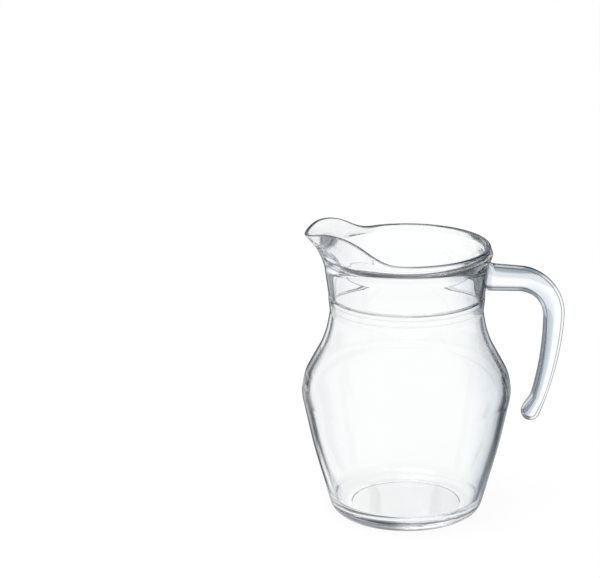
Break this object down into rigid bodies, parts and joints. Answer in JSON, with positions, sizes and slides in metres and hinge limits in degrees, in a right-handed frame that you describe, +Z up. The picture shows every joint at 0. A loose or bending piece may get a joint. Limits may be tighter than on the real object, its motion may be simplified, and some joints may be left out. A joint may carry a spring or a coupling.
{
  "type": "glass water jug",
  "caption": "Clear glass pouring jug: bellied body on a thick foot, ringed neck, flared collar, lip drawn out to a spout, and an open hook handle stuck to the collar.",
  "frame": {"origin": "on the axis of the vessel, at the level of the table that the foot ring stands on", "axes": "+Z up along the vessel's axis, -X towards the spout, +X towards the handle"},
  "size_m": [0.1265, 0.1, 0.143],
  "materials": {
    "vessel_glass": "clear pressed soda-lime glass, fire-polished",
    "handle_glass": "clear drawn soda-lime glass, fire-polished"
  },
  "bodies": {
    "root": {"vessel": "vessel_glass", "handle": "handle_glass"}
  },
  "joints": []
}
